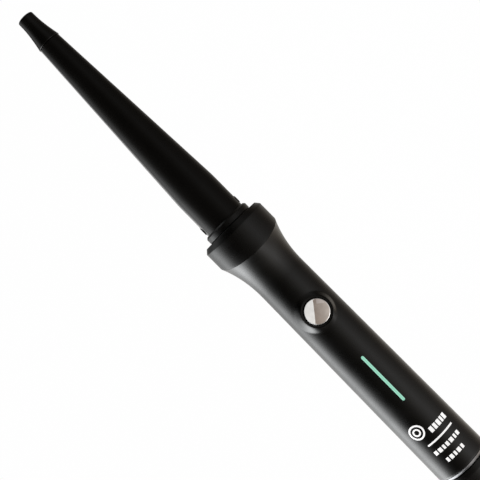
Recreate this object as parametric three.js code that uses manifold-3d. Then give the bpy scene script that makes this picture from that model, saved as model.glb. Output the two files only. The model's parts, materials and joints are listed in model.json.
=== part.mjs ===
// Conical curling wand: hollow heated barrel with a fold-out stand, and a two-part handle with a push button.
// Millimetres. The long axis lies along X with the tip towards +X, and the button faces +Z.
// Inside the wand group x = 0 is the front face of the collar and z = 0 is the long axis; the group is then
// moved so that the origin is the middle of the underside of the whole tool.
import * as THREE from "three";
import { mergeVertices } from "three/addons/utils/BufferGeometryUtils.js";
import Module from "manifold-3d";

// ---- driving dimensions ----
const FACETS = 32; // sides of every large turned piece, with a flat one underneath
const SMALL_FACETS = 12;
const FIT = 0.3; // play between pieces that meet

const BARREL_REAR = -14;
const BARREL_STRAIGHT_END = 27.2;
const BARREL_TIP = 142.2;
const BARREL_BASE_R = 12.6;
const BARREL_TIP_R = 6.65;
const BARREL_WALL = 0.9;

const BARREL_SCREW_X = -8.5;
const HOLDER = { rear: -18, flangeFront: -14.3, flangeR: 16.6, spigotFront: 2, spigotR: 11.4, boreR: 5 };
const HEATER = { rear: 20, front: 120, gapHalf: 1.9 }; // two aluminium halves with a slot between them
const ELEMENT = { rear: 24, front: 116, halfWidth: 4.5, halfThickness: 1 };
const FILM = { rear: 22, front: 118, thickness: 0.3 };
const CLIP = { rear: 120.5, front: 128, halfWidth: 2.6, halfHeight: 4.4, sheet: 0.6 };
const THERMISTOR = { rear: 36, front: 42, y: 6.9, r: 1.2 };
const FUSE = { rear: 4, front: 15, y: -4, z: -4.5, r: 1.6 };

const COOL_TIP_END = 161.6;
const COOL_TIP_R = 4.92;
const COOL_TIP_LIP_R = 6.87;
const COOL_TIP_FLARE = 15; // length of the flared part
const COOL_TIP_STEPS = 6;

const BASE_RING = { front: 4.4, rear: 0.2, r: 14.4, chamfer: 1.1, spigotR: 13.7, boreR: 12.9, spigotRear: -4.6 };

const COLLAR_R = 20.25;
const COLLAR_CHAMFER = 2.1;
const COLLAR_BORE_R = 14;
const COLLAR_WALL = 2.05;
const CREASE_X = -13.75; // where the collar meets the handle, on the long axis
const CREASE_SLOPE = 0.28; // the joint leans back by this much for each millimetre towards the button

const FLARE_END = -39.9;
const FLARE_POWER = 2.3;
const FLARE_STEPS = 7;
const HANDLE_FRONT_R = 14.88;
const HANDLE_REAR_R = 15.95;
const HANDLE_REAR = -181.2;
const HANDLE_WALL = 2;
const SPIGOT = { r: 17.9, innerR: 15.2, front: -2.8 }; // neck of the handle, inside the collar
const GROOVE = { front: -14.1, rear: -18.3, r: 16.9 }; // holds the barrel holder's flange

const STAND = { pivotX: 8, gap: 0.15, sheet: 0.5, earR: 2.6, footX: 31.8, footR: 15.4, dimpleR: 1.1 };
const STAND_HOLE_R = 1.35;

const BUTTON_X = -65.4;
const PAD_TOP = 15.5; // height of the flat-topped mound that carries the button
const BUTTON = { r: 7.3, rim: PAD_TOP + 0.2, crown: PAD_TOP + 0.6, underside: 13.6, stemR: 1.6, stemEnd: 6.8 };
const BEZEL = { r: 8.5, innerR: 7.6, floor: 11.2, bottom: 10.6 };
const PAD = { bottom: 8, bottomR: 12.8, topR: 9.4, holeR: 8.8 };

const LIGHT_BAR = { front: -98.4, rear: -132.2, halfWidth: 1.3, top: 15.3, bottom: 3 };
const BOARD = { front: -61, rear: -140, halfWidth: 9.5, halfThickness: 0.8 };
const LED_XS = [-102, -111, -120, -129];

const SCREW_PLACES = { shell_screw_left: [-50, 8], shell_screw_right: [-50, -8], shell_screw_rear: [-158, 0] };
const BOARD_SCREW_XS = { board_screw_front: -78, board_screw_rear: -135.5 };
const SCREW_SEAT = -9; // height of the shell screws' seats

const REAR_RING = { front: -181.5, rear: -183.4, innerR: 13 };
const CAP_FRONT = -183.8;
const GLAND = { front: -197, flangeR: 9.5, flangeRear: -199.4, r: 7.2, boreR: 3.4, end: -214 };

const COLOURS = {
  satinBlack: { color: 0x101010, roughness: 0.45, metalness: 0 },
  glossBlack: { color: 0x0a0a0b, roughness: 0.15, metalness: 0 },
  coatedBlack: { color: 0x141414, roughness: 0.5, metalness: 0.3 },
  mirror: { color: 0xdadada, roughness: 0.05, metalness: 1 },
  satinMetal: { color: 0x8a8580, roughness: 0.35, metalness: 1 },
  mint: { color: 0x96dec6, roughness: 0.4, metalness: 0 },
  aluminium: { color: 0xb8babd, roughness: 0.4, metalness: 1 },
  steel: { color: 0x9a9a9a, roughness: 0.3, metalness: 1 },
  brass: { color: 0xb89850, roughness: 0.3, metalness: 1 },
  ceramic: { color: 0xe8e4da, roughness: 0.6, metalness: 0 },
  amber: { color: 0xb8741c, roughness: 0.3, metalness: 0 },
  board: { color: 0x1c5c34, roughness: 0.5, metalness: 0 },
  wireRed: { color: 0xa02020, roughness: 0.6, metalness: 0 },
  wireWhite: { color: 0xd8d8d4, roughness: 0.6, metalness: 0 },
  wireBlack: { color: 0x181818, roughness: 0.6, metalness: 0 },
};

// ---- solids ----
const wasm = await Module();
wasm.setup();

// A closed three.js geometry as a manifold-3d solid with its faces outwards.
function solid(geometry) {
  const bare = geometry.clone();
  for (const name of ["normal", "uv"]) bare.deleteAttribute(name);
  const merged = mergeVertices(bare, 1e-4);
  const build = (triVerts) =>
    new wasm.Manifold(new wasm.Mesh({ numProp: 3, vertProperties: merged.attributes.position.array, triVerts }));
  const triVerts = new Uint32Array(merged.index.array);
  const made = build(triVerts);
  return made.volume() > 0 ? made : build(triVerts.reverse());
}

function geometryOf(made) {
  const mesh = made.getMesh();
  return new THREE.BufferGeometry()
    .setAttribute("position", new THREE.BufferAttribute(new Float32Array(mesh.vertProperties), 3))
    .setIndex(new THREE.BufferAttribute(new Uint32Array(mesh.triVerts), 1));
}

const union = (first, ...others) => others.reduce((sum, other) => sum.add(other), first);
const cut = (first, ...others) => others.reduce((rest, other) => rest.subtract(other), first);

// Turned round the long axis from a closed profile of [x, radius] points.
function turnedGeometry(profile, sides = FACETS) {
  const points = profile.map(([x, r]) => new THREE.Vector2(r, x));
  return new THREE.LatheGeometry(points, sides, Math.PI / sides).rotateZ(-Math.PI / 2);
}
const turned = (profile, sides) => solid(turnedGeometry(profile, sides));
const disc = (x0, x1, r, sides) => turned([[x0, 0], [x0, r], [x1, r], [x1, 0]], sides);
const tube = (x0, x1, r, innerR, sides) =>
  turned([[x0, innerR], [x0, r], [x1, r], [x1, innerR], [x0, innerR]], sides);

function block(x0, x1, y0, y1, z0, z1) {
  const geometry = new THREE.BoxGeometry(Math.abs(x1 - x0), Math.abs(y1 - y0), Math.abs(z1 - z0));
  return solid(geometry.translate((x0 + x1) / 2, (y0 + y1) / 2, (z0 + z1) / 2));
}

// Upright rod, or a cone where the two radii differ.
function post(x, y, z0, z1, bottomR, topR = bottomR, sides = SMALL_FACETS) {
  const geometry = new THREE.CylinderGeometry(topR, bottomR, z1 - z0, sides).rotateX(Math.PI / 2);
  return solid(geometry.translate(x, y, (z0 + z1) / 2));
}

// Rod along Y.
function crossRod(x, y0, y1, z, r, sides = SMALL_FACETS) {
  const geometry = new THREE.CylinderGeometry(r, r, Math.abs(y1 - y0), sides);
  return solid(geometry.translate(x, (y0 + y1) / 2, z));
}

// Rod along X, away from the axis.
const alongRod = (x0, x1, y, z, r, sides = SMALL_FACETS) => disc(x0, x1, r, sides).translate([0, y, z]);

// Outline of [x, z] points, extruded right across the tool.
function sidePlate(outline, halfWidth = 30) {
  const shape = new THREE.Shape(outline.map(([x, z]) => new THREE.Vector2(x, z)));
  const geometry = new THREE.ExtrudeGeometry(shape, { depth: 2 * halfWidth, bevelEnabled: false });
  return solid(geometry.translate(0, 0, -halfWidth).rotateX(Math.PI / 2));
}

// Upright bar with round ends, seen from above as a slot.
function slotBar(x0, x1, halfWidth, z0, z1) {
  const low = Math.min(x0, x1) + halfWidth;
  const high = Math.max(x0, x1) - halfWidth;
  const shape = new THREE.Shape();
  shape.absarc(high, 0, halfWidth, -Math.PI / 2, Math.PI / 2);
  shape.absarc(low, 0, halfWidth, Math.PI / 2, (3 * Math.PI) / 2);
  const geometry = new THREE.ExtrudeGeometry(shape, { depth: z1 - z0, bevelEnabled: false, curveSegments: 6 });
  return solid(geometry.translate(0, 0, z0));
}

// Round wire through the given points.
function wire(points, r, sides = 8, steps = 14) {
  const path = new THREE.CatmullRomCurve3(points.map((p) => new THREE.Vector3(...p)), false, "centripetal");
  return sweep(path, r, sides, steps);
}

function sweep(path, r, sides, steps) {
  const section = new THREE.Shape();
  section.absarc(0, 0, r, 0, 2 * Math.PI);
  const extruded = { steps, extrudePath: path, bevelEnabled: false, curveSegments: sides / 2 };
  return solid(new THREE.ExtrudeGeometry(section, extruded));
}

class Helix extends THREE.Curve {
  constructor(radius, height, turns) {
    super();
    Object.assign(this, { radius, height, turns });
  }
  getPoint(t, target = new THREE.Vector3()) {
    const angle = 2 * Math.PI * this.turns * t;
    return target.set(this.radius * Math.cos(angle), this.radius * Math.sin(angle), this.height * t);
  }
}

// ---- outer surfaces ----
const barrelSlope = (BARREL_BASE_R - BARREL_TIP_R) / (BARREL_TIP - BARREL_STRAIGHT_END);
const barrelR = (x) => BARREL_BASE_R - barrelSlope * Math.max(0, x - BARREL_STRAIGHT_END);
const handleR = (x) =>
  HANDLE_FRONT_R + ((HANDLE_REAR_R - HANDLE_FRONT_R) * (FLARE_END - x)) / (FLARE_END - HANDLE_REAR);

// The crease between collar and handle leans: each point slides along X in proportion to its height, fully
// at the crease and not at all at the collar's chamfer and at the end of the flare.
function leanCrease(geometry) {
  const position = geometry.attributes.position;
  for (let i = 0; i < position.count; i++) {
    const x = position.getX(i);
    const ahead = (x + COLLAR_CHAMFER) / (CREASE_X + COLLAR_CHAMFER);
    const behind = (x - FLARE_END) / (CREASE_X - FLARE_END);
    const share = THREE.MathUtils.clamp(Math.min(ahead, behind), 0, 1);
    position.setX(i, x - share * CREASE_SLOPE * position.getZ(i));
  }
  return geometry;
}

// ---- heated end ----
function barrel() {
  const inner = (x) => barrelR(x) - BARREL_WALL;
  const endWall = BARREL_TIP - 1.3;
  const shell = turned([
    [BARREL_REAR, inner(BARREL_REAR)],
    [BARREL_REAR, BARREL_BASE_R],
    [BARREL_STRAIGHT_END, BARREL_BASE_R],
    [BARREL_TIP, BARREL_TIP_R],
    [BARREL_TIP, 1.7],
    [endWall, 1.7],
    [endWall, inner(endWall)],
    [BARREL_STRAIGHT_END, inner(BARREL_STRAIGHT_END)],
    [BARREL_REAR, inner(BARREL_REAR)],
  ]);
  const pivotHoles = crossRod(STAND.pivotX, -BARREL_BASE_R - 1, BARREL_BASE_R + 1, 0, STAND_HOLE_R);
  const screwHoles = crossRod(BARREL_SCREW_X, -BARREL_BASE_R - 1, BARREL_BASE_R + 1, 0, 1.3);
  return cut(shell, pivotHoles, screwHoles);
}

function coolTip() {
  const flareEnd = BARREL_TIP + FIT + COOL_TIP_FLARE;
  const profile = [[BARREL_TIP + FIT, 0]];
  for (let i = 0; i <= COOL_TIP_STEPS; i++) {
    const v = i / COOL_TIP_STEPS; // 0 at the lip, 1 where the narrow part begins
    const r = COOL_TIP_R + (COOL_TIP_LIP_R - COOL_TIP_R) * (1 - v) ** 1.5;
    profile.push([BARREL_TIP + FIT + v * COOL_TIP_FLARE, r]);
  }
  profile.push([flareEnd + 2.4, COOL_TIP_R - 0.05]);
  profile.push([COOL_TIP_END - 0.9, COOL_TIP_R - 0.15]);
  profile.push([COOL_TIP_END - 0.25, COOL_TIP_R - 0.8]);
  profile.push([COOL_TIP_END, COOL_TIP_R - 2.2]);
  profile.push([COOL_TIP_END, 0]);
  return cut(turned(profile, 24), disc(BARREL_TIP, BARREL_TIP + 11, 1.2, SMALL_FACETS));
}

const tipScrew = () =>
  union(
    disc(BARREL_TIP - 3.4, BARREL_TIP - 1.6, 2.8, SMALL_FACETS),
    disc(BARREL_TIP - 2, BARREL_TIP + 9.5, 0.95, SMALL_FACETS),
  );

function heaterBlock(side) {
  const r = (x) => barrelR(x) - BARREL_WALL - FIT;
  const full = turned([
    [HEATER.rear, 0],
    [HEATER.rear, r(HEATER.rear)],
    [BARREL_STRAIGHT_END, r(BARREL_STRAIGHT_END)],
    [HEATER.front, r(HEATER.front)],
    [HEATER.front, 0],
  ]);
  const half = block(HEATER.rear - 1, HEATER.front + 1, -20, 20, side * HEATER.gapHalf, side * 20);
  return full.intersect(half);
}

function heaterElement() {
  const { rear, front, halfWidth, halfThickness } = ELEMENT;
  return block(rear, front, -halfWidth, halfWidth, -halfThickness, halfThickness);
}

// Sleeve round the element, open at both ends.
function insulationFilm() {
  const y = ELEMENT.halfWidth + FIT + 0.1;
  const z = ELEMENT.halfThickness + FIT;
  const t = FILM.thickness;
  const outer = block(FILM.rear, FILM.front, -y - t, y + t, -z - t, z + t);
  return cut(outer, block(FILM.rear - 1, FILM.front + 1, -y, y, -z, z));
}

// Bent spring strip that bridges the ends of the two heater blocks.
function heaterClip() {
  const { rear, front, halfWidth, halfHeight, sheet } = CLIP;
  const inside = halfHeight - sheet;
  const outer = block(rear, front, -halfWidth, halfWidth, -halfHeight, halfHeight);
  return cut(outer, block(rear - 1, front - sheet, -halfWidth - 1, halfWidth + 1, -inside, inside));
}

const thermistor = () => alongRod(THERMISTOR.rear, THERMISTOR.front, THERMISTOR.y, 0, THERMISTOR.r);
const thermalFuse = () => alongRod(FUSE.rear, FUSE.front, FUSE.y, FUSE.z, FUSE.r);

// ---- barrel base ----
function barrelHolder() {
  const flange = tube(HOLDER.rear, HOLDER.flangeFront, HOLDER.flangeR, HOLDER.boreR);
  const spigot = tube(HOLDER.rear, HOLDER.spigotFront, HOLDER.spigotR, HOLDER.boreR);
  const screwHoles = crossRod(BARREL_SCREW_X, -12, 12, 0, 1.2);
  return cut(union(flange, spigot), screwHoles);
}

const barrelScrew = (side) =>
  union(
    crossRod(BARREL_SCREW_X, side * 12.9, side * 14, 0, 2),
    crossRod(BARREL_SCREW_X, side * 7, side * 13, 0, 1),
  );

function baseRing() {
  const { front, rear, r, chamfer, spigotR, boreR, spigotRear } = BASE_RING;
  return turned([
    [spigotRear, boreR],
    [spigotRear, spigotR],
    [rear, spigotR],
    [rear, r],
    [front - chamfer, r],
    [front, r - chamfer],
    [front, boreR],
    [spigotRear, boreR],
  ]);
}

// Bent sheet that hugs the underside of the barrel. Its rear edge slants, so that it clears the barrel, the
// base ring and the collar as it swings down about the pivots in its two flat ears.
function stand() {
  const { pivotX, gap, sheet, earR, footX, footR, dimpleR } = STAND;
  const sleeve = (offset) => [
    [pivotX, 0],
    [pivotX, BARREL_BASE_R + offset],
    [BARREL_STRAIGHT_END, BARREL_BASE_R + offset],
    [footX, barrelR(footX) + offset],
    [footX, 0],
  ];
  const wrap = cut(turned(sleeve(gap + sheet)), turned(sleeve(gap)));
  const foot = tube(footX - 0.8, footX, footR, barrelR(footX) + gap + 0.1);
  const sideView = sidePlate([
    [pivotX + 0.35, -0.2],
    [pivotX + 2.9, -5.2],
    [pivotX + 5.4, -8.4],
    [pivotX + 9.4, -14.5],
    [pivotX + 9.4, -17],
    [footX + 0.1, -17],
    [footX + 0.1, -8.2],
    [pivotX + 8, -5.6],
    [pivotX + 2.7, -2.8],
    [pivotX + 2.5, -0.2],
  ]);
  const ears = [-1, 1].map((side) => {
    const inner = side * (BARREL_BASE_R + gap);
    const plate = crossRod(pivotX, inner, inner + side * sheet, 0, earR, 24);
    return union(plate, crossRod(pivotX, inner - side * 0.7, inner + side * 0.1, 0, dimpleR));
  });
  return union(union(wrap, foot).intersect(sideView), ...ears);
}

function collar() {
  const outer = leanCrease(
    turnedGeometry([
      [0, 0],
      [0, COLLAR_R - COLLAR_CHAMFER],
      [-COLLAR_CHAMFER, COLLAR_R],
      [CREASE_X + FIT / 2, COLLAR_R],
      [CREASE_X + FIT / 2, 0],
    ]),
  );
  const cavity = disc(-2.5, -40, COLLAR_R - COLLAR_WALL);
  return cut(solid(outer), cavity, disc(-5, 5, COLLAR_BORE_R));
}

// ---- handle ----
function handleOuter() {
  const profile = [[CREASE_X - FIT / 2, 0]];
  for (let i = 0; i <= FLARE_STEPS; i++) {
    const u = i / FLARE_STEPS; // 0 at the crease, 1 at the end of the flare
    const x = CREASE_X - FIT / 2 + u * (FLARE_END - CREASE_X + FIT / 2);
    profile.push([x, HANDLE_FRONT_R + (COLLAR_R - HANDLE_FRONT_R) * (1 - u) ** FLARE_POWER]);
  }
  profile.push([HANDLE_REAR, HANDLE_REAR_R]);
  profile.push([HANDLE_REAR, 0]);
  const spigotRear = CREASE_X - 4;
  const spigot = turnedGeometry([
    [spigotRear, 0],
    [spigotRear, SPIGOT.r],
    [SPIGOT.front, SPIGOT.r],
    [SPIGOT.front, 0],
  ]);
  return union(solid(leanCrease(turnedGeometry(profile))), solid(leanCrease(spigot)));
}

const handleCavity = () =>
  turned([
    [HANDLE_REAR - 1, 0],
    [HANDLE_REAR - 1, HANDLE_REAR_R - HANDLE_WALL],
    [FLARE_END, HANDLE_FRONT_R - HANDLE_WALL],
    [-24, SPIGOT.innerR],
    [GROOVE.rear, SPIGOT.innerR],
    [GROOVE.rear, GROOVE.r],
    [GROOVE.front, GROOVE.r],
    [GROOVE.front, SPIGOT.innerR],
    [0, SPIGOT.innerR],
    [0, 0],
  ]);

// One half of the handle: side is 1 for the button half and -1 for the back half.
function handleShell(side) {
  const outer = handleOuter();
  const walls = cut(outer, handleCavity());
  const posts = Object.values(SCREW_PLACES).map(([x, y]) =>
    post(x, y, Math.min(0, side * 14), Math.max(0, side * 14), 3.1).intersect(outer),
  );
  const half = block(-220, 20, -30, 30, side * (FIT / 2), side * 30);
  return union(walls, ...posts).intersect(half);
}

function handleFrontShell() {
  const screwHoles = Object.values(SCREW_PLACES).map(([x, y]) => post(x, y, -1, 9, 1.5));
  const pad = cut(post(BUTTON_X, 0, PAD.bottom, PAD_TOP, PAD.bottomR, PAD.topR, 32), handleCavity());
  const buttonHole = post(BUTTON_X, 0, 5, PAD_TOP + 1, PAD.holeR, PAD.holeR, 32);
  const slot = slotBar(LIGHT_BAR.front + FIT, LIGHT_BAR.rear - FIT, LIGHT_BAR.halfWidth + FIT, 5, 17);
  return cut(union(handleShell(1), pad), ...screwHoles, buttonHole, slot);
}

function handleBackShell() {
  const boardPosts = Object.values(BOARD_SCREW_XS).map((x) =>
    cut(post(x, 0, -14, -1.2, 2.6), post(x, 0, -10, 0, 1.4)),
  );
  const screwHoles = Object.values(SCREW_PLACES).map(([x, y]) =>
    union(post(x, y, -17, 1, 1.6), post(x, y, -17, SCREW_SEAT, 2.7)),
  );
  return cut(union(handleShell(-1), ...boardPosts), ...screwHoles);
}

const shellScrew = ([x, y]) =>
  union(post(x, y, SCREW_SEAT - 2.2, SCREW_SEAT - FIT, 2.35), post(x, y, SCREW_SEAT - 1, 8, 1.2));
const boardScrew = (x) => union(post(x, 0, 1.1, 2.3, 2.3), post(x, 0, -8, 1.2, 1.1));

// ---- button and switch ----
function buttonCap() {
  const { r, rim, crown, underside, stemR, stemEnd } = BUTTON;
  const dome = union(
    post(BUTTON_X, 0, underside, rim, r, r, 32),
    post(BUTTON_X, 0, rim - 0.1, crown, r, 2.5, 32),
  );
  return union(dome, post(BUTTON_X, 0, stemEnd, underside + 1, stemR));
}

function buttonBezel() {
  const { r, innerR, floor, bottom } = BEZEL;
  const body = post(BUTTON_X, 0, bottom, PAD_TOP, r, r, 32);
  const well = post(BUTTON_X, 0, floor, PAD_TOP + 1, innerR, innerR, 32);
  return cut(body, well, post(BUTTON_X, 0, bottom - 1, floor + 1, BUTTON.stemR + FIT));
}

function buttonSpring() {
  const wireR = 0.22;
  const height = BUTTON.underside - BEZEL.floor - 2 * wireR - 0.2;
  return sweep(new Helix(3.2, height, 2.5), wireR, 6, 36).translate([BUTTON_X, 0, BEZEL.floor + wireR + 0.1]);
}

const tactSwitch = () =>
  cut(
    block(BUTTON_X - 3, BUTTON_X + 3, -3, 3, 1.1, 4.6),
    post(BUTTON_X, 0, 2.2, 6, 1.9),
  );
const switchPlunger = () => post(BUTTON_X, 0, 3.3, BUTTON.stemEnd - FIT, 1.6);

// ---- board ----
function controllerBoard() {
  const { front, rear, halfWidth, halfThickness } = BOARD;
  const holes = Object.values(BOARD_SCREW_XS).map((x) => post(x, 0, -3, 3, 1.5));
  return cut(block(rear, front, -halfWidth, halfWidth, -halfThickness, halfThickness), ...holes);
}

function lightPipe() {
  const { front, rear, halfWidth, top, bottom } = LIGHT_BAR;
  return union(
    slotBar(front, rear, halfWidth, bottom, top),
    slotBar(front + 1.6, rear - 1.6, halfWidth + 1.4, 9.8, 11.8),
  );
}

const triac = () => union(block(-94, -84, -5, 5, 1.1, 5.5), block(-97, -93, -5, 5, 1.1, 2.3));
const capacitor = () => post(-106, 0, -9.6, -1.1, 4);
const boardFuse = () => alongRod(-128, -117, 0, -3.1, 1.8);
const indicatorLed = (x) => block(x - 1.4, x + 1.4, -0.9, 0.9, 1.1, 2.6);

// ---- rear end and cord swivel ----
const rearRing = () => tube(REAR_RING.rear, REAR_RING.front, HANDLE_REAR_R, REAR_RING.innerR);

function rearCap() {
  const outer = turned([
    [CAP_FRONT, 0],
    [CAP_FRONT, 15.9],
    [-190, 15.75],
    [-196, 15.2],
    [-200.5, 13.7],
    [-204, 11.3],
    [-206.2, 8.8],
    [-206.2, 0],
  ]);
  const spigot = disc(-176, CAP_FRONT - 1, REAR_RING.innerR - FIT);
  const cavity = turned([
    [-175, 0],
    [-175, 11.2],
    [-186, 11.2],
    [-187.2, 13.2],
    [-195.5, 13.2],
    [-196.4, 10],
    [-199.7, 10],
    [-199.7, GLAND.r + FIT],
    [-208, GLAND.r + FIT],
    [-208, 0],
  ]);
  return cut(union(outer, spigot), cavity);
}

function cordGland() {
  const { front, flangeR, flangeRear, r, boreR, end } = GLAND;
  return turned([
    [front, boreR],
    [front, flangeR],
    [flangeRear, flangeR],
    [flangeRear, r],
    [-206.6, r],
    [-208, 6.6],
    [end, 5.2],
    [end, boreR],
    [front, boreR],
  ], 24);
}

const CARRIER = { front: -188, rear: -190.4, r: 12.9 };
const BRUSH_PLACES = { live: 7.7, neutral: -5 };

const contactCarrier = () =>
  cut(
    disc(CARRIER.rear, CARRIER.front, CARRIER.r),
    ...Object.values(BRUSH_PLACES).map((y) => alongRod(-192, -186, y, 0, 1.2)),
  );
const brush = (y) => alongRod(-195.8, -187.6, y, 0, 0.9);
const contactRing = (y) => tube(-196.7, -196.1, Math.abs(y) + 0.7, Math.abs(y) - 0.7, 24);

// ---- wires ----
const BOARD_FRONT_EDGE = BOARD.front + 0.4;
const BOARD_REAR_EDGE = BOARD.rear - 0.4;

function heaterLead(side) {
  const near = 2.6 * side;
  const far = 4 * side;
  return wire([[21.6, near, 0], [0, near, 0], [-18, near, 0], [-40, 3 * side, 0], [BOARD_FRONT_EDGE, far, 0]], 0.8);
}

function sensorLead() {
  const { rear, y } = THERMISTOR;
  const bend = [[24, y, 0], [14, 5.5, 2], [0, 1, 3.2], [-18, 0, 3.2], [-42, 0, 2]];
  return wire([[rear - 0.4, y, 0], ...bend, [BOARD_FRONT_EDGE, 0, 0]], 0.6);
}

function supplyLead(y) {
  const side = Math.sign(y);
  return wire([[BOARD_REAR_EDGE, 4 * side, 0], [-150, 6 * side, 0], [-165, 6 * side, 0], [-187.2, y, 0]], 0.9);
}

// ---- assembly ----
const PIECES = {
  cool_tip: [coolTip, "satinBlack"],
  tip_screw: [tipScrew, "steel"],
  barrel: [barrel, "coatedBlack"],
  heater_block_upper: [() => heaterBlock(1), "aluminium"],
  heater_block_lower: [() => heaterBlock(-1), "aluminium"],
  heater_element: [heaterElement, "ceramic"],
  insulation_film: [insulationFilm, "amber"],
  heater_clip: [heaterClip, "steel"],
  thermistor: [thermistor, "amber"],
  thermal_fuse: [thermalFuse, "ceramic"],
  barrel_holder: [barrelHolder, "ceramic"],
  barrel_screw_left: [() => barrelScrew(1), "steel"],
  barrel_screw_right: [() => barrelScrew(-1), "steel"],
  base_ring: [baseRing, "satinBlack"],
  stand: [stand, "coatedBlack"],
  collar: [collar, "satinBlack"],
  handle_front_shell: [handleFrontShell, "satinBlack"],
  handle_back_shell: [handleBackShell, "satinBlack"],
  button_cap: [buttonCap, "mirror"],
  button_bezel: [buttonBezel, "glossBlack"],
  button_spring: [buttonSpring, "steel"],
  tact_switch: [tactSwitch, "wireBlack"],
  switch_plunger: [switchPlunger, "wireWhite"],
  controller_board: [controllerBoard, "board"],
  triac: [triac, "wireBlack"],
  capacitor: [capacitor, "aluminium"],
  board_fuse: [boardFuse, "ceramic"],
  light_pipe: [lightPipe, "mint"],
  rear_ring: [rearRing, "satinMetal"],
  rear_cap: [rearCap, "glossBlack"],
  contact_carrier: [contactCarrier, "wireBlack"],
  brush_live: [() => brush(BRUSH_PLACES.live), "brass"],
  brush_neutral: [() => brush(BRUSH_PLACES.neutral), "brass"],
  contact_ring_live: [() => contactRing(BRUSH_PLACES.live), "brass"],
  contact_ring_neutral: [() => contactRing(BRUSH_PLACES.neutral), "brass"],
  cord_gland: [cordGland, "satinBlack"],
  heater_lead_live: [() => heaterLead(1), "wireRed"],
  heater_lead_neutral: [() => heaterLead(-1), "wireWhite"],
  sensor_lead: [sensorLead, "wireBlack"],
  supply_lead_live: [() => supplyLead(BRUSH_PLACES.live), "wireRed"],
  supply_lead_neutral: [() => supplyLead(BRUSH_PLACES.neutral), "wireWhite"],
};
for (const [name, place] of Object.entries(SCREW_PLACES)) PIECES[name] = [() => shellScrew(place), "steel"];
for (const [name, x] of Object.entries(BOARD_SCREW_XS)) PIECES[name] = [() => boardScrew(x), "steel"];
LED_XS.forEach((x, i) => {
  PIECES[`indicator_led_${i + 1}`] = [() => indicatorLed(x), "wireWhite"];
});

const wand = new THREE.Group();
for (const [name, [make, look]] of Object.entries(PIECES)) {
  const mesh = new THREE.Mesh(geometryOf(make()), new THREE.MeshStandardMaterial(COLOURS[look]));
  mesh.name = name;
  wand.add(mesh);
}
const middle = (COOL_TIP_END + GLAND.end) / 2;
const undersideDrop = COLLAR_R * Math.cos(Math.PI / FACETS);
wand.position.set(-middle, 0, undersideDrop);

const root = new THREE.Group();
root.add(wand);
export default root;
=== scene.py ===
"""Looks of a conical curling wand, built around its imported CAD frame.

Metres, in the CAD frame: +X towards the tip, +Z out of the button. Sizes in the tables are millimetres, and
places along the wand are counted from the collar's front face, positive towards the tip.
"""
import json
import math

import bmesh
import bpy
from mathutils import Matrix, Vector


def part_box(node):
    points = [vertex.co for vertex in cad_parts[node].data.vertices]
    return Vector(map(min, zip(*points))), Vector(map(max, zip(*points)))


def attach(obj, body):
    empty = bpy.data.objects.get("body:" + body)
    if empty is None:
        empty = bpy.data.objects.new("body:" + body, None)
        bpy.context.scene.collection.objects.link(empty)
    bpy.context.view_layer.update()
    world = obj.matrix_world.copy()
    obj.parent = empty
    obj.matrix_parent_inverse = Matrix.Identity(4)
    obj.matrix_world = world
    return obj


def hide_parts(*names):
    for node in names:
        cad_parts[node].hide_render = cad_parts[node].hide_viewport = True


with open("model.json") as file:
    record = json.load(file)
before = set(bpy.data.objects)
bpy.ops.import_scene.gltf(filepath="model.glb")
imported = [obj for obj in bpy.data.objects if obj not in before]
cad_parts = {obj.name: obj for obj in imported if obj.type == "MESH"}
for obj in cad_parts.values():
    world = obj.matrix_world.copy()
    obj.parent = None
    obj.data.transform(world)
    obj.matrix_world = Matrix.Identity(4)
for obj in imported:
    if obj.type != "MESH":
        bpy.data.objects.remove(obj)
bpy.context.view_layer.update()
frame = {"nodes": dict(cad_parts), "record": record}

MM = 0.001
BARREL_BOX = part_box("barrel")
AXIS_Z = (BARREL_BOX[0].z + BARREL_BOX[1].z) / 2
COLLAR_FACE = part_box("collar")[1].x
COLLAR_R = 20.42
BUTTON_X = (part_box("button_cap")[0].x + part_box("button_cap")[1].x) / 2
BUTTON_AT = (BUTTON_X - COLLAR_FACE) / MM

BARREL = {"rear": -14, "straight_end": 27.2, "tip": 141.35, "base_r": 12.75, "tip_r": 6.8, "wall": 0.9}
TIP = {"flare": 15.3, "r": 5.05, "lip_r": 7.15, "end": 161.0}
CREASE = {"x": -13.0, "slope": 0.32}
FLARE = {"end": -39.9, "power": 2.07, "front_r": 15.12, "rear_r": 16.36, "rear": -180.2}
SHELL_WALL = 2.0
PAD = {"top": 15.45, "hole_r": 8.8, "foot_r": 11.6, "skew": 0.7, "power": 1.45, "well": 13.6}
BUTTON = {"r": 7.1, "bezel_r": 8.75, "bezel_inner_r": 7.35}
LIGHT = {"front": -99.35, "rear": -132.0, "half_width": 0.74}
SCREWS = {"shell_screw_left": (-50, 8), "shell_screw_right": (-50, -8), "shell_screw_rear": (-158, 0)}
STAND = {
    "pivot": 8, "gap": 0.08, "sheet": 0.3, "foot": 31.8, "foot_r": 15.4,
    "ear_r": 2.2, "ear": 0.34, "dimple_r": 1.1,
}


# ---- meshes ----
def place(x, y=0.0, z=0.0):
    """A point given in millimetres from the collar's face and the long axis, in the frame's metres."""
    return Vector((COLLAR_FACE + x * MM, y * MM, AXIS_Z + z * MM))


def finish_mesh(name, bm, body, replaces=(), sharp=35):
    """Turns a bmesh into a piece that rides on a body, smooth but for its sharp edges."""
    bmesh.ops.recalc_face_normals(bm, faces=bm.faces)
    mesh = bpy.data.meshes.new(name)
    bm.to_mesh(mesh)
    bm.free()
    mesh.shade_smooth()
    mesh.set_sharp_from_angle(angle=math.radians(sharp))
    piece = bpy.data.objects.new(name, mesh)
    bpy.context.collection.objects.link(piece)
    if body:
        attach(piece, body)
    if replaces:
        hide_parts(*replaces)
    return piece


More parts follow.
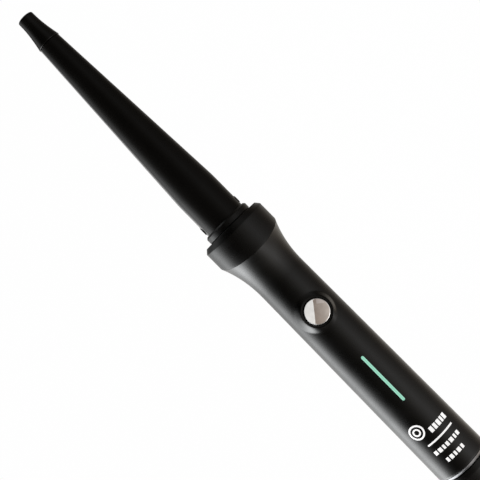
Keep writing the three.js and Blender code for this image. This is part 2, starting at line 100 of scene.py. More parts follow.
def rounded(corners, steps=6):
    """A profile from (x, r, fillet) corners, with each fillet as an arc."""
    points = []
    for i, (x, r, fillet) in enumerate(corners):
        here = Vector((x, r))
        if not fillet:
            points.append((x, r))
            continue
        before = (Vector(corners[i - 1][:2]) - here).normalized()
        after = (Vector(corners[(i + 1) % len(corners)][:2]) - here).normalized()
        half = before.angle(after) / 2
        start = here + before * (fillet / math.tan(half))
        centre = here + (before + after).normalized() * (fillet / math.sin(half))
        arm = start - centre
        turn = math.pi - 2 * half
        sign = 1 if before.cross(after) < 0 else -1
        for k in range(steps + 1):
            a = sign * turn * k / steps
            c, s = math.cos(a), math.sin(a)
            points.append(tuple(centre + Vector((arm.x * c - arm.y * s, arm.x * s + arm.y * c))))
    return points


def lean(x, z):
    """How far a point slides along the wand so that the crease between collar and handle leans back."""
    ahead = x / CREASE["x"]
    behind = (x - FLARE["end"]) / (CREASE["x"] - FLARE["end"])
    return -max(0.0, min(1.0, ahead, behind)) * CREASE["slope"] * z


def revolve(profile, segments=144, leaning=False, closed=True, start=0.0, sweep=2 * math.pi):
    """A bmesh turned round the long axis. A full turn closes on itself; a part turn gets flat end faces."""
    bm = bmesh.new()
    whole = sweep > 2 * math.pi - 1e-6
    columns = segments if whole else segments + 1
    rings = []
    for x, r in profile:
        if r < 1e-6:
            rings.append([bm.verts.new(place(x))] * columns)
            continue
        ring = []
        for k in range(columns):
            a = start + sweep * k / segments
            y, z = r * math.sin(a), r * math.cos(a)
            ring.append(bm.verts.new(place(x + (lean(x, z) if leaning else 0), y, z)))
        rings.append(ring)
    pairs = list(zip(rings, rings[1:]))
    if closed and rings[0][0] is not rings[0][1]:
        pairs.append((rings[-1], rings[0]))
    for low, high in pairs:
        for k in range(segments):
            n = (k + 1) % columns
            corners = [low[k], low[n], high[n], high[k]]
            unique = list(dict.fromkeys(corners))
            if len(unique) > 2:
                bm.faces.new(unique)
    if not whole:
        for k in (0, segments):
            bm.faces.new(list(dict.fromkeys(ring[k] for ring in rings)))
    return bm


def upright(x, y, z0, z1, r, segments=64, top_r=None):
    """A bmesh rod along Z, or a cone where its top radius differs."""
    bm = bmesh.new()
    bmesh.ops.create_cone(
        bm, cap_ends=True, segments=segments, radius1=r * MM, radius2=(r if top_r is None else top_r) * MM,
        depth=(z1 - z0) * MM, matrix=Matrix.Translation(place(x, y, (z0 + z1) / 2)),
    )
    return bm


def crosswise(x, y0, y1, z, r, segments=48):
    """A bmesh rod along Y."""
    bm = bmesh.new()
    turn = Matrix.Translation(place(x, (y0 + y1) / 2, z)) @ Matrix.Rotation(math.pi / 2, 4, "X")
    bmesh.ops.create_cone(
        bm, cap_ends=True, segments=segments, radius1=r * MM, radius2=r * MM,
        depth=abs(y1 - y0) * MM, matrix=turn,
    )
    return bm


def prism(outline, half_width):
    """A bmesh from an outline of (x, z) points, extruded across the wand."""
    bm = bmesh.new()
    face = bm.faces.new([bm.verts.new(place(x, -half_width, z)) for x, z in outline])
    out = bmesh.ops.extrude_face_region(bm, geom=[face])
    moved = [v for v in out["geom"] if isinstance(v, bmesh.types.BMVert)]
    bmesh.ops.translate(bm, verts=moved, vec=(0, 2 * half_width * MM, 0))
    return bm


def loose(bm):
    """A plain object from a bmesh, used only as the other operand of a boolean."""
    bmesh.ops.recalc_face_normals(bm, faces=bm.faces)
    mesh = bpy.data.meshes.new("operand")
    bm.to_mesh(mesh)
    bm.free()
    obj = bpy.data.objects.new("operand", mesh)
    bpy.context.collection.objects.link(obj)
    return obj


def combine(bm, *steps):
    """Applies (operation, bmesh) boolean steps to a bmesh and gives the result as a new bmesh."""
    base = loose(bm)
    tools = [(operation, loose(other)) for operation, other in steps]
    for operation, tool in tools:
        modifier = base.modifiers.new(operation, "BOOLEAN")
        modifier.operation = operation
        modifier.solver = "EXACT"
        modifier.object = tool
    result = bmesh.new()
    result.from_object(base, bpy.context.evaluated_depsgraph_get())
    for obj in [base, *(tool for _, tool in tools)]:
        mesh = obj.data
        bpy.data.objects.remove(obj)
        bpy.data.meshes.remove(mesh)
    bmesh.ops.remove_doubles(result, verts=result.verts, dist=1e-7)
    return result


def bevel(piece, width):
    """Rounds the sharp edges of a piece by a width in millimetres."""
    modifier = piece.modifiers.new("edges", "BEVEL")
    modifier.width = width * MM
    modifier.segments = 2
    modifier.limit_method = "ANGLE"
    modifier.angle_limit = math.radians(40)
    modifier.harden_normals = False


# ---- materials ----
def nodes_of(name):
    """A new node material, with its tree and its main shader."""
    material = bpy.data.materials.new(name)
    material.use_nodes = True
    tree = material.node_tree
    return material, tree, tree.nodes["Principled BSDF"]


def noise(tree, scale, detail=3.0, stretch=(1, 1, 1)):
    """Noise in object space; scale is in waves per metre."""
    coordinates = tree.nodes.new("ShaderNodeTexCoord")
    mapping = tree.nodes.new("ShaderNodeMapping")
    mapping.inputs["Scale"].default_value = stretch
    texture = tree.nodes.new("ShaderNodeTexNoise")
    texture.inputs["Scale"].default_value = scale
    texture.inputs["Detail"].default_value = detail
    tree.links.new(coordinates.outputs["Object"], mapping.inputs["Vector"])
    tree.links.new(mapping.outputs["Vector"], texture.inputs["Vector"])
    return texture.outputs["Fac"]


def mapped(tree, value, low, high, from_low=0.3, from_high=0.7):
    """A value brought from one range, which is the usual spread of noise, to another."""
    node = tree.nodes.new("ShaderNodeMapRange")
    for socket, number in zip(("From Min", "From Max", "To Min", "To Max"), (from_low, from_high, low, high)):
        node.inputs[socket].default_value = number
    tree.links.new(value, node.inputs["Value"])
    return node.outputs["Result"]


def tinted(tree, value, dark, light):
    """A colour between two, as the value goes from 0 to 1."""
    node = tree.nodes.new("ShaderNodeMix")
    node.data_type = "RGBA"
    node.inputs["A"].default_value = (*dark, 1)
    node.inputs["B"].default_value = (*light, 1)
    tree.links.new(value, node.inputs["Factor"])
    return node.outputs["Result"]


def bumped(tree, shader, height, distance):
    node = tree.nodes.new("ShaderNodeBump")
    node.inputs["Distance"].default_value = distance
    node.inputs["Strength"].default_value = 1.0
    tree.links.new(height, node.inputs["Height"])
    tree.links.new(node.outputs["Normal"], shader.inputs["Normal"])


def moulded(name, colour, roughness, grain=7000, depth=4e-6, spread=0.05, specular=0.5, shade=0.75):
    """Moulded plastic: a fine grain, and broad patches that are slightly glossier and darker."""
    material, tree, shader = nodes_of(name)
    patches = noise(tree, 90, 4)
    fine = noise(tree, grain, 2)
    dark = tuple(c * shade for c in colour)
    tree.links.new(tinted(tree, mapped(tree, patches, 0, 1), dark, colour), shader.inputs["Base Color"])
    rough = mapped(tree, patches, roughness - spread, roughness + spread)
    tree.links.new(rough, shader.inputs["Roughness"])
    shader.inputs["Specular IOR Level"].default_value = specular
    bumped(tree, shader, fine, depth)
    return material


def metal(name, colour, roughness, stretch=(1, 1, 1), grain=900, depth=2e-6, spread=0.04):
    """Bare metal with a directional finish."""
    material, tree, shader = nodes_of(name)
    lines = noise(tree, grain, 4, stretch)
    dark = tuple(c * 0.85 for c in colour)
    tree.links.new(tinted(tree, mapped(tree, lines, 0, 1), dark, colour), shader.inputs["Base Color"])
    tree.links.new(mapped(tree, lines, roughness - spread, roughness + spread), shader.inputs["Roughness"])
    shader.inputs["Metallic"].default_value = 1.0
    bumped(tree, shader, lines, depth)
    return material


def coated_barrel():
    """Satin ceramic coating: an even fine texture, with faint turning lines round the aluminium under it."""
    material, tree, shader = nodes_of("barrel_coating")
    rings = noise(tree, 1500, 2, (1, 0.02, 0.02))
    fine = noise(tree, 5000, 3)
    patches = noise(tree, 60, 4)
    warm, cool = (0.0075, 0.0068, 0.006), (0.0092, 0.0085, 0.0077)
    tree.links.new(tinted(tree, mapped(tree, patches, 0, 1), warm, cool), shader.inputs["Base Color"])
    tree.links.new(mapped(tree, fine, 0.16, 0.22), shader.inputs["Roughness"])
    shader.inputs["Specular IOR Level"].default_value = 0.15
    shader.inputs["Sheen Weight"].default_value = 0.15
    shader.inputs["Sheen Roughness"].default_value = 0.3
    sum_node = tree.nodes.new("ShaderNodeMath")
    sum_node.operation = "ADD"
    tree.links.new(mapped(tree, rings, 0, 0.35), sum_node.inputs[0])
    tree.links.new(mapped(tree, fine, 0, 1), sum_node.inputs[1])
    bumped(tree, shader, sum_node.outputs["Value"], 3e-6)
    return material


def glowing_bar():
    """Translucent mint bar, lit from behind, a little dimmer along its middle."""
    material, tree, shader = nodes_of("mint_light")
    coordinates = tree.nodes.new("ShaderNodeTexCoord")
    split = tree.nodes.new("ShaderNodeSeparateXYZ")
    tree.links.new(coordinates.outputs["Object"], split.inputs["Vector"])
    away = tree.nodes.new("ShaderNodeMath")
    away.operation = "ABSOLUTE"
    tree.links.new(split.outputs["Y"], away.inputs[0])
    edge = mapped(tree, away.outputs["Value"], 0, 1, 0, LIGHT["half_width"] * MM * 0.8)
    glow = tinted(tree, edge, (0.21, 0.56, 0.41), (0.37, 0.74, 0.58))
    tree.links.new(glow, shader.inputs["Emission Color"])
    shader.inputs["Emission Strength"].default_value = 0.85
    body = tinted(tree, noise(tree, 400), (0.20, 0.45, 0.35), (0.26, 0.52, 0.42))
    tree.links.new(body, shader.inputs["Base Color"])
    shader.inputs["Roughness"].default_value = 0.35
    return material


def board_mask():
    """Green solder mask, with paler pads here and there."""
    material, tree, shader = nodes_of("board_laminate")
    pads = mapped(tree, noise(tree, 500, 1), 0, 1, 0.62, 0.66)
    tree.links.new(tinted(tree, pads, (0.02, 0.14, 0.06), (0.55, 0.5, 0.3)), shader.inputs["Base Color"])
    tree.links.new(mapped(tree, pads, 0.45, 0.25, 0, 1), shader.inputs["Roughness"])
    return material


def dress(piece, material):
    piece.data.materials.clear()
    piece.data.materials.append(material)


LOOKS = {
    "body_plastic": moulded("body_plastic", (0.0035, 0.0033, 0.0029), 0.28),
    "tip_plastic": moulded(
        "tip_plastic", (0.0085, 0.0078, 0.0068), 0.2, grain=4000, depth=2e-6, specular=0.25
    ),
    "ring_plastic": moulded("ring_plastic", (0.009, 0.0085, 0.008), 0.28, specular=0.32),
    "gland_plastic": moulded("gland_plastic", (0.010, 0.010, 0.010), 0.45),
    "gloss_black": moulded("gloss_black", (0.006, 0.006, 0.0065), 0.12, depth=5e-7, spread=0.03),
    "cap_plastic": moulded("cap_plastic", (0.014, 0.0135, 0.013), 0.16, depth=5e-7, spread=0.03),
    "barrel_coating": coated_barrel(),
    "stand_metal": moulded("stand_metal", (0.09, 0.085, 0.08), 0.35, grain=3500),
    "button_chrome": metal("button_chrome", (0.86, 0.85, 0.84), 0.035, grain=300, depth=2e-8, spread=0.01),
    "satin_metal": metal("satin_metal", (0.36, 0.36, 0.37), 0.34, (1, 0.03, 0.03), 2500),
    "mint_light": glowing_bar(),
    "bare_aluminium": metal("bare_aluminium", (0.72, 0.73, 0.74), 0.42, (0.1, 1, 1)),
    "steel": metal("steel", (0.55, 0.55, 0.56), 0.3),
    "contact_brass": metal("contact_brass", (0.75, 0.57, 0.28), 0.25),
    "heater_ceramic": moulded("heater_ceramic", (0.78, 0.76, 0.70), 0.6, grain=2000, depth=8e-6),
    "holder_resin": moulded("holder_resin", (0.70, 0.65, 0.53), 0.5),
    "amber_film": moulded("amber_film", (0.55, 0.24, 0.03), 0.25),
    "component_black": moulded("component_black", (0.015, 0.015, 0.015), 0.5),
    "white_plastic": moulded("white_plastic", (0.75, 0.75, 0.72), 0.45, shade=0.93),
    "red_insulation": moulded("red_insulation", (0.42, 0.02, 0.02), 0.5),
    "board_laminate": board_mask(),
}
# The print glows a little, to stay as white as in the photograph.
PRINT_WHITE = moulded("print_white", (0.86, 0.86, 0.86), 0.5, shade=0.96)
print_shader = PRINT_WHITE.node_tree.nodes["Principled BSDF"]
print_shader.inputs["Emission Color"].default_value = (0.9, 0.9, 0.9, 1)
print_shader.inputs["Emission Strength"].default_value = 0.8


# ---- the heated end ----
def barrel_r(x):
    """Outer radius of the barrel: straight at its base, then a cone."""
    run = BARREL["tip"] - BARREL["straight_end"]
    return BARREL["base_r"] - (BARREL["base_r"] - BARREL["tip_r"]) * max(0, x - BARREL["straight_end"]) / run


def make_barrel():
    wall, tip, rear = BARREL["wall"], BARREL["tip"], BARREL["rear"]
    bend = [(BARREL["straight_end"] + d, barrel_r(BARREL["straight_end"] + d)) for d in (-1, 1)]
    outer = [(rear, BARREL["base_r"]), *bend, *rounded_lip(tip)]
    inner = [
        (tip - 1.3, 1.7),
        (tip - 1.3, barrel_r(tip) - wall),
        (BARREL["straight_end"], BARREL["base_r"] - wall),
    ]
    profile = [(rear, BARREL["base_r"] - wall), *outer, (tip, 1.7), *inner]
    holes = [("DIFFERENCE", crosswise(STAND["pivot"], side * 10, side * 14, 0, 1.35)) for side in (-1, 1)]
    bm = combine(revolve(profile, 192), *holes)
    return finish_mesh("barrel_skin", bm, "handle", ["barrel"])


def rounded_lip(tip):
    """The barrel's front edge, folded over by a small radius."""
    r, fold = BARREL["tip_r"], 0.25
    steps = 4
    arc = [math.pi / 2 * k / steps for k in range(steps + 1)]
    return [(tip - fold + fold * math.sin(a), r - fold + fold * math.cos(a)) for a in arc]


def make_cool_tip():
    """Solid insulated tip, hollowed along its side from the wide lip at the barrel to a narrower end."""
    seat = BARREL["tip"] + 0.3
    steps = 24
    flare = []
    for k in range(steps + 1):
        v = k / steps
        r = TIP["r"] + (TIP["lip_r"] - TIP["r"]) * (1 - v) ** 1.5
        flare.append((seat + 0.3 + v * (TIP["flare"] - 0.3), r))
    lip = [(seat, 0), (seat, TIP["lip_r"] - 0.35), (seat + 0.08, TIP["lip_r"] - 0.12)]
    end = rounded(
        [
            (seat + TIP["flare"] + 1, TIP["r"] - 0.02, 0),
            (TIP["end"] - 0.15, TIP["r"] - 0.08, 0.8),
            (TIP["end"], TIP["r"] - 2.2, 0.5),
            (TIP["end"], 0, 0),
        ]
    )
    bm = revolve([*lip, *flare, *end], 128, closed=False)
    return finish_mesh("cool_tip_moulding", bm, "handle", ["cool_tip"])


def make_base_ring():
    """Insulating ring round the barrel, with a chamfer in front and a fine groove at the collar."""
    profile = rounded(
        [
            (-4.6, 12.9, 0), (-4.6, 13.7, 0), (0.08, 13.7, 0), (0.08, 14.05, 0), (0.45, 14.6, 0.1),
            (3.4, 14.6, 0.3), (4.4, 13.6, 0.2), (4.4, 12.95, 0),
        ]
    )
    return finish_mesh("base_ring_moulding", revolve(profile), "handle", ["base_ring"])


def make_collar():
    """Wide collar with a chamfered front and a rear edge that leans back."""
    bore, inner, rear = 14.0, 18.2, CREASE["x"] + 0.03
    profile = rounded(
        [
            (-2.5, bore, 0), (0, bore, 0.25), (0, COLLAR_R - 2.0, 0.45), (-2.3, COLLAR_R, 0.7),
            (rear, COLLAR_R, 0.05), (rear, inner, 0), (-2.5, inner, 0),
        ]
    )
    bm = revolve(thicken(profile, 1.0), 192, leaning=True)
    return finish_mesh("collar_moulding", bm, "handle", ["collar"])


def thicken(profile, step):
    """The same profile with points added so that no stretch is longer than step, in millimetres."""
    points = []
    for (x0, r0), (x1, r1) in zip(profile, [*profile[1:], profile[0]]):
        pieces = max(1, math.ceil(math.hypot(x1 - x0, r1 - r0) / step))
        points += [(x0 + (x1 - x0) * k / pieces, r0 + (r1 - r0) * k / pieces) for k in range(pieces)]
    return points


def make_stand():
    """Bent sheet that hugs the underside of the barrel, with a turned-out foot."""
    pivot, gap, sheet, foot = (STAND[k] for k in ("pivot", "gap", "sheet", "foot"))
    bend, base = BARREL["straight_end"], BARREL["base_r"] + gap
    ring = [
        (pivot - 1, base), (bend, base), (foot, barrel_r(foot) + gap), (foot, STAND["foot_r"]),
        (foot - 0.8, STAND["foot_r"]), (foot - 0.8, barrel_r(foot - 0.8) + gap + sheet), (bend, base + sheet),
        (pivot - 1, base + sheet),
    ]
    outline = [
        (pivot + 0.35, -0.2), (pivot + 2.9, -5.2), (pivot + 5.4, -8.4), (pivot + 9.4, -14.5),
        (pivot + 9.4, -17), (foot + 0.1, -17), (foot + 0.1, -10.4), (pivot + 8, -5.6), (pivot + 2.7, -2.8),
        (pivot + 2.5, -0.2),
    ]
    bm = combine(revolve(ring, 160), ("INTERSECT", prism(outline, 20)))
    piece = finish_mesh("stand_sheet", bm, "stand", ["stand"])
    bevel(piece, 0.1)
    return piece


def make_stand_ear(name, side):
    """Flat round ear at the end of the stand's arm, with the dimple it turns on."""
    pivot = STAND["pivot"]
    inner = side * (BARREL["base_r"] + 0.03)
    plate = crosswise(pivot, inner, inner + side * STAND["ear"], 0, STAND["ear_r"])
    dimple = crosswise(pivot, inner - side * 0.7, inner + side * 0.1, 0, STAND["dimple_r"])
    piece = finish_mesh(name, combine(plate, ("UNION", dimple)), "stand")
    bevel(piece, 0.1)
    return piece


# ---- the handle ----
def handle_r(x):
    """Outer radius of the handle behind its flare, a little wider towards the rear."""
    run = FLARE["end"] - FLARE["rear"]
    return FLARE["front_r"] + (FLARE["rear_r"] - FLARE["front_r"]) * (FLARE["end"] - x) / run


def handle_stations():
    """(x, radius) down the outside of the handle, closer together at the flare and round the button."""
    crease = CREASE["x"] - 0.03
    points = [(crease, COLLAR_R - 0.05), (crease - 0.05, COLLAR_R)]
    steps = 36
    for k in range(1, steps + 1):
        u = k / steps
        r = FLARE["front_r"] + (COLLAR_R - FLARE["front_r"]) * (1 - u) ** FLARE["power"]
        points.append((crease - 0.05 + u * (FLARE["end"] - crease + 0.05), r))
    x = FLARE["end"] - 0.5
    while x > FLARE["rear"] + 0.6:
        points.append((x, handle_r(x)))
        x -= 0.4 if abs(x - BUTTON_AT) < 16 else 1.6
    points.append((FLARE["rear"] + 0.15, FLARE["rear_r"]))
    points.append((FLARE["rear"], FLARE["rear_r"] - 0.15))
    return points


def raise_pad(vertex):
    """Raises the outside round the button towards a flat top, level with the handle's crown."""
    y = vertex.co.y / MM
    away = math.hypot((vertex.co.x - BUTTON_X) / MM, y)
    foot_r = PAD["foot_r"] + PAD["skew"] * y / max(away, 1)
    share = max(0.0, min(1.0, (foot_r - away) / (foot_r - PAD["hole_r"])))
    missing = max(0.0, AXIS_Z + PAD["top"] * MM - vertex.co.z)
    vertex.co.z += missing * share ** PAD["power"]


def handle_half(side):
    """Half of the handle's wall as a closed bmesh: side is 1 for the button half and -1 for the back."""
    outer = handle_stations()
    neck = [(CREASE["x"] - 0.03, 17.9), (-2.8, 17.9)]
    inner = [
        (-2.8, 15.2), (-14.1, 15.2), (-14.1, 16.9), (-18.3, 16.9), (-18.3, 15.2), (-24, 15.2),
        (FLARE["end"], FLARE["front_r"] - SHELL_WALL), (FLARE["rear"], FLARE["rear_r"] - SHELL_WALL),
    ]
    seam = 0.06 / 15
    start = -math.pi / 2 + seam if side > 0 else math.pi / 2 + seam
    profile = [*reversed(outer), *neck, *inner]
    bm = revolve(profile, 120, leaning=True, start=start, sweep=math.pi - 2 * seam)
    if side > 0:
        for v in bm.verts:
            if math.hypot(v.co.y, v.co.z - AXIS_Z) / MM > FLARE["front_r"] - 0.1:
                raise_pad(v)
    return bm


def slot_prism(front, rear, half_width, z0, z1, steps=16):
    """An upright bmesh bar with round ends."""
    bm = bmesh.new()
    outline = []
    for centre, sign in ((front - half_width, 1), (rear + half_width, -1)):
        for k in range(steps + 1):
            a = -math.pi / 2 + math.pi * k / steps
            outline.append((centre + sign * half_width * math.cos(a), sign * half_width * math.sin(a)))
    face = bm.faces.new([bm.verts.new(place(x, y, z0)) for x, y in outline])
    out = bmesh.ops.extrude_face_region(bm, geom=[face])
    moved = [v for v in out["geom"] if isinstance(v, bmesh.types.BMVert)]
    bmesh.ops.translate(bm, verts=moved, vec=(0, 0, (z1 - z0) * MM))
    return bm


def make_handle_front():
    gap = 0.12
    window = slot_prism(LIGHT["front"] + gap, LIGHT["rear"] - gap, LIGHT["half_width"] + gap, 5, 18)
    well = upright(BUTTON_AT, 0, 4, 18, PAD["hole_r"], 128)
    bm = combine(handle_half(1), ("DIFFERENCE", well), ("DIFFERENCE", window))
    return finish_mesh("handle_front_moulding", bm, "handle", ["handle_front_shell"], 50)


def make_handle_back():
    wells = [("DIFFERENCE", upright(x, y, -18, -9, 2.7)) for x, y in SCREWS.values()]
    bosses = [("UNION", upright(x, y, -9.6, -2, 3.2)) for x, y in SCREWS.values()]
    bm = combine(handle_half(-1), *wells, *bosses)
    return finish_mesh("handle_back_moulding", bm, "handle", ["handle_back_shell"], 50)


def make_shell_screw(name, x, y):
    """Pan head with a cross recess, seated at the bottom of its counterbore."""
    head = upright(x, y, -11.2, -9.6, 2.0, 48, top_r=2.35)
    steps = [("UNION", upright(x, y, -9.9, -2, 1.2, 24))]
    for turn in (0, math.pi / 2):
        slot = bmesh.new()
        size = Matrix.Diagonal((2.4 * MM, 0.5 * MM, 1.6 * MM, 1))
        turned = Matrix.Rotation(turn, 4, "Z") @ size
        bmesh.ops.create_cube(slot, matrix=Matrix.Translation(place(x, y, -11.4)) @ turned)
        steps.append(("DIFFERENCE", slot))
    piece = finish_mesh(f"{name}_turned", combine(head, *steps), "handle", [name])
    bevel(piece, 0.06)
    return piece


# ---- button, bezel and light bar ----
def vertical_turn(profile, segments=128):
    """A bmesh turned about the button's own axis from (radius, height) points."""
    bm = bmesh.new()
    rings = []
    for r, z in profile:
        if r < 1e-6:
            rings.append([bm.verts.new(place(BUTTON_AT, 0, z))] * segments)
            continue
        turn = [2 * math.pi * k / segments for k in range(segments)]
        rings.append([bm.verts.new(place(BUTTON_AT + r * math.cos(a), r * math.sin(a), z)) for a in turn])
    pairs = list(zip(rings, rings[1:]))
    if rings[0][0] is not rings[0][1]:
        pairs.append((rings[-1], rings[0]))
    for low, high in pairs:
        for k in range(segments):
            n = (k + 1) % segments
            unique = list(dict.fromkeys([low[k], low[n], high[n], high[k]]))
            if len(unique) > 2:
                bm.faces.new(unique)
    return bm


def make_button():
    """Mirror-bright cap with a low dome, hollow underneath where its spring sits, and its stem."""
    low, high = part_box("button_cap")
    crown = (high.z - AXIS_Z) / MM
    r = BUTTON["r"]
    shoulder = crown - 0.42
    rim = shoulder - 0.3
    dome = []
    steps = 20
    for k in range(steps + 1):
        share = k / steps
        dome.append(((r - 0.1) * (1 - share), crown - 0.38 * (1 - share) ** 2))
    edge = [(r, rim), (r, shoulder - 0.05), (r - 0.06, shoulder)]
    stem = (low.z - AXIS_Z) / MM
    hollow = [(1.6, crown - 1.6), (4.2, crown - 1.6), (4.2, crown - 2.3)]
    profile = [(0, stem), (1.6, stem), *hollow, (r, crown - 2.3), *edge, *dome]
    bm = vertical_turn(profile)
    return finish_mesh("button_cap_mirror", bm, "button", ["button_cap"], 50)


def make_bezel():
    """Gloss black ring sunk round the button."""
    top = PAD["well"]
    r, inner = BUTTON["bezel_r"], BUTTON["bezel_inner_r"]
    profile = [
        (1.9, top - 4.6), (r, top - 4.6), (r, top - 0.12), (r - 0.1, top), (inner + 0.25, top - 0.05),
        (inner, top - 0.35), (inner, top - 4), (1.9, top - 4),
    ]
    return finish_mesh("button_bezel_ring", vertical_turn(profile), "handle", ["button_bezel"])


def make_light_bar():
    """Bar flush with the handle, its top face curved to the handle's own radius."""
    front, rear, half = LIGHT["front"], LIGHT["rear"], LIGHT["half_width"]
    rows = 96
    columns = 12
    bm = bmesh.new()
    top = []
    for i in range(rows + 1):
        x = front + (rear - front) * i / rows
        inset = max(0.0, half - min(front - x, x - rear))
        wide = math.sqrt(max(half * half - inset * inset, 1e-3))
        line = []
        for j in range(columns + 1):
            y = wide * (2 * j / columns - 1)
            edge = max(0.0, 1 - (half - math.hypot(inset, y)) / 0.2)
            z = math.sqrt(handle_r(x) ** 2 - y * y) + 0.04 - 0.12 * edge**2
            line.append(bm.verts.new(place(x, y, z)))
        top.append(line)
    for low, high in zip(top, top[1:]):
        for j in range(columns):
            bm.faces.new([low[j], low[j + 1], high[j + 1], high[j]])
    out = bmesh.ops.extrude_face_region(bm, geom=list(bm.faces))
    floor = AXIS_Z + 9.8 * MM
    for v in out["geom"]:
        if isinstance(v, bmesh.types.BMVert):
            v.co.z = floor
    bm = combine(bm, ("UNION", slot_prism(front + 1.6, rear - 1.6, half + 1.4, 9.8, 11.8)))
    return finish_mesh("light_bar", bm, "handle", ["light_pipe"])


# ---- print on the handle ----
def wrapped(name, strips):
    """Thin print on the handle from (strip, closed) pairs. A strip pairs up (x, arc) points of its edges."""
    bm = bmesh.new()
    for strip, closed in strips:
        for a, b in zip(strip, [*strip[1:], strip[0]] if closed else strip[1:]):
            corners = []
            for x, arc in (a[0], a[1], b[1], b[0]):
                r = handle_r(x) + 0.02
                corners.append(bm.verts.new(place(x, r * math.sin(arc / r), r * math.cos(arc / r))))
            bm.faces.new(corners)
    bmesh.ops.remove_doubles(bm, verts=bm.verts, dist=1e-7)
    bmesh.ops.recalc_face_normals(bm, faces=bm.faces)
    if sum(f.normal.z for f in bm.faces) < 0:
        bmesh.ops.reverse_faces(bm, faces=bm.faces)
    bm.normal_update()
    top = bmesh.ops.extrude_face_region(bm, geom=list(bm.faces))
    for v in top["geom"]:
        if isinstance(v, bmesh.types.BMVert):
            v.co += Vector((0, v.co.y, v.co.z - AXIS_Z)).normalized() * 0.03 * MM
    return finish_mesh(name, bm, "handle", sharp=60)


def bar_strip(x, y0, y1, half):
    """A straight stroke across the handle, of a half width along it."""
    steps = max(2, math.ceil(abs(y1 - y0) / 0.5))
    points = [y0 + (y1 - y0) * k / steps for k in range(steps + 1)]
    return [((x - half, y), (x + half, y)) for y in points]


def ring_strip(x, y, inner, outer, steps=64):
    """A ring between two radii."""
    turn = [2 * math.pi * k / steps for k in range(steps)]
    edges = [[(x + r * math.cos(a), y + r * math.sin(a)) for a in turn] for r in (inner, outer)]
    return list(zip(*edges))


def block_row(x, start, half, widths, gap):
    """Plain blocks side by side across the handle, as a placeholder for a printed line."""
    row = []
    for width in widths:
        row.append((bar_strip(x, start, start + width, half), False))
        start += width + gap
    return row


def make_print():
    """A plain placeholder mark: two rings, a rule and three rows of blocks."""
    rings = [(ring_strip(-149.5, 8.1, inner, outer), True) for inner, outer in ((3.5, 4.5), (1.4, 2.3))]
    return [
        wrapped("print_rings", rings),
        wrapped("print_row_upper", block_row(-153.2, -10.8, 1.7, (2.1, 1.5, 2.1, 1.8, 2.1), 0.75)),
        wrapped("print_rule", [(bar_strip(-159.0, -10.2, 8.8, 0.5), False)]),
        wrapped("print_row_middle", block_row(-164.6, -9.4, 1.25, (2.0, 1.4, 2.4, 1.8, 1.4, 2.2, 2.0), 0.9)),
        wrapped("print_row_lower", block_row(-171.2, -5.8, 1.25, (1.6, 2.2, 1.4, 2.0, 1.6), 0.9)),
    ]


# ---- the rear end ----
def make_rear_ring():
    profile = rounded([(-180.45, 13, 0), (-180.45, 16.2, 0.1), (-182.4, 14.9, 0.1), (-182.4, 13, 0)])
    return finish_mesh("rear_ring_turned", revolve(profile, 160), "handle", ["rear_ring"])


def make_rear_cap():
    """End cap that swells a little, then rounds in to the opening for the gland."""
    outer = rounded(
        [(-182.55, 15.1, 0.1), (-186, 15.7, 3), (-197, 15.7, 8), (-206.2, 9.6, 1.6), (-206.2, 7.5, 0.2)], 16
    )
    inside = [
        (-199.7, 7.5), (-199.7, 10), (-196.4, 10), (-195.5, 13),
        (-187.2, 13), (-186, 11.2), (-176, 11.2), (-176, 12.7),
    ]
    bm = revolve([(-182.55, 12.7), *outer, *inside], 160)
    return finish_mesh("rear_cap_moulding", bm, "handle", ["rear_cap"])


def make_gland():
    """Swivelling gland with its flange behind the cap's opening and the passage for a cord."""
    profile = rounded(
        [
            (-197, 3.4, 0), (-197, 9.5, 0), (-199.4, 9.5, 0), (-199.4, 7.2, 0),
            (-206.8, 7.2, 0.4), (-208.4, 6.4, 0.6), (-214, 5.2, 0.5), (-214, 3.4, 0.3),
        ]
    )
    return finish_mesh("cord_gland_moulding", revolve(profile, 96), "gland", ["cord_gland"])


# ---- build ----
VISIBLE = {
    make_cool_tip(): "tip_plastic",
    make_barrel(): "barrel_coating",
    make_base_ring(): "ring_plastic",
    make_collar(): "body_plastic",
    make_stand(): "stand_metal",
    make_handle_front(): "body_plastic",
    make_handle_back(): "body_plastic",
    make_button(): "button_chrome",
    make_bezel(): "gloss_black",
    make_light_bar(): "mint_light",
    make_rear_ring(): "satin_metal",
    make_rear_cap(): "cap_plastic",
    make_gland(): "gland_plastic",
}
for piece, look in VISIBLE.items():
    dress(piece, LOOKS[look])
for name, (x, y) in SCREWS.items():
    dress(make_shell_screw(name, x, y), LOOKS["steel"])
for piece in make_print():
    dress(piece, PRINT_WHITE)
for name, side in {"stand_ear_left": 1, "stand_ear_right": -1}.items():
    dress(make_stand_ear(name, side), LOOKS["stand_metal"])

SLOT_OF = {row["node"]: row["material_slot"] for row in frame["record"]["subparts"]}
for name, node in frame["nodes"].items():
    dress(node, LOOKS[SLOT_OF[name]])


